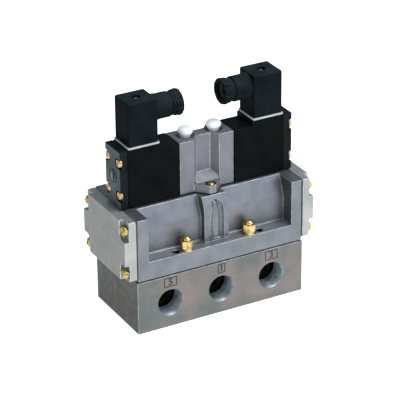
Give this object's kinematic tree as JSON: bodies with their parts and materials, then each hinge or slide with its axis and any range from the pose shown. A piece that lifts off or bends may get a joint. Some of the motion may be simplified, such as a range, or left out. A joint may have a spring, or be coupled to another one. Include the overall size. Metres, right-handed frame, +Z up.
{
  "type": "solenoid directional valve",
  "caption": "Double-solenoid pilot-operated spool valve on a ported sub-base, with manual override buttons and plug connectors.",
  "frame": {"origin": "centre of the sub-base's underside", "axes": "+Z up from the underside; X along the spool, +X towards the right solenoid; -Y is the side with three ports"},
  "size_m": [0.1928, 0.082, 0.213],
  "materials": {
    "sub_base": "fine-milled, matt warm grey",
    "body": "die-cast, matt cool grey",
    "cover": "die-cast, matt light grey",
    "pilot": "die-cast, matt cool grey",
    "gasket": "black, matt",
    "plug_gasket": "light grey, matt",
    "black": "black, fine-grained",
    "screw": "yellow zinc plated",
    "steel": "bright steel",
    "spring": "drawn wire",
    "copper": "enamelled copper winding",
    "spool": "turned and anodised",
    "piston": "dark, smooth",
    "button": "white, translucent"
  },
  "bodies": {
    "valve": {"sub_base": "sub_base", "base_gasket": "gasket", "valve_body": "body", "pilot_gasket": "gasket", "pilot_block": "pilot", "pilot_screw_front": "screw", "pilot_screw_rear": "screw", "body_bolt_front_left": "screw", "body_bolt_front_right": "screw", "body_bolt_rear_left": "screw", "body_bolt_rear_right": "screw", "left_end_gasket": "gasket", "left_end_cover": "cover", "left_cover_screw_front_lower": "screw", "left_cover_screw_front_upper": "screw", "left_cover_screw_rear_lower": "screw", "left_cover_screw_rear_upper": "screw", "left_solenoid_housing": "black", "left_solenoid_cover": "black", "left_solenoid_screw_front_lower": "screw", "left_solenoid_screw_front_upper": "screw", "left_solenoid_screw_rear_lower": "screw", "left_solenoid_screw_rear_upper": "screw", "left_coil": "copper", "left_core": "steel", "left_plunger_spring": "spring", "left_button_spring": "spring", "left_connector_gasket": "plug_gasket", "left_connector_housing": "black", "left_connector_screw": "steel", "left_gland_nut": "black", "left_gland_seal": "gasket", "right_end_gasket": "gasket", "right_end_cover": "cover", "right_cover_screw_front_lower": "screw", "right_cover_screw_front_upper": "screw", "right_cover_screw_rear_lower": "screw", "right_cover_screw_rear_upper": "screw", "right_solenoid_housing": "black", "right_solenoid_cover": "black", "right_solenoid_screw_front_lower": "screw", "right_solenoid_screw_front_upper": "screw", "right_solenoid_screw_rear_lower": "screw", "right_solenoid_screw_rear_upper": "screw", "right_coil": "copper", "right_core": "steel", "right_plunger_spring": "spring", "right_button_spring": "spring", "right_connector_gasket": "plug_gasket", "right_connector_housing": "black", "right_connector_screw": "steel", "right_gland_nut": "black", "right_gland_seal": "gasket"},
    "spool_with_pistons": {"spool": "spool", "left_piston": "piston", "right_piston": "piston"},
    "left_plunger_body": {"left_plunger": "steel"},
    "left_button_body": {"left_override_button": "button"},
    "right_plunger_body": {"right_plunger": "steel"},
    "right_button_body": {"right_override_button": "button"}
  },
  "joints": [
    {"name": "spool_slide", "type": "slide", "parent": "valve", "child": "spool_with_pistons", "axis": [1, 0, 0], "range_m": [0, 0.007]},
    {"name": "left_plunger_slide", "type": "slide", "parent": "valve", "child": "left_plunger_body", "axis": [-1, 0, 0], "range_m": [0, 0.0015], "stiffness_N_per_m": 1500, "springref_m": -0.002, "deforming": ["left_plunger_spring"]},
    {"name": "left_button_slide", "type": "slide", "parent": "valve", "child": "left_button_body", "axis": [0, 0, -1], "range_m": [0, 0.003], "stiffness_N_per_m": 1000, "springref_m": -0.001, "deforming": ["left_button_spring"]},
    {"name": "right_plunger_slide", "type": "slide", "parent": "valve", "child": "right_plunger_body", "axis": [1, 0, 0], "range_m": [0, 0.0015], "stiffness_N_per_m": 1500, "springref_m": -0.002, "deforming": ["right_plunger_spring"]},
    {"name": "right_button_slide", "type": "slide", "parent": "valve", "child": "right_button_body", "axis": [0, 0, -1], "range_m": [0, 0.003], "stiffness_N_per_m": 1000, "springref_m": -0.001, "deforming": ["right_button_spring"]}
  ]
}
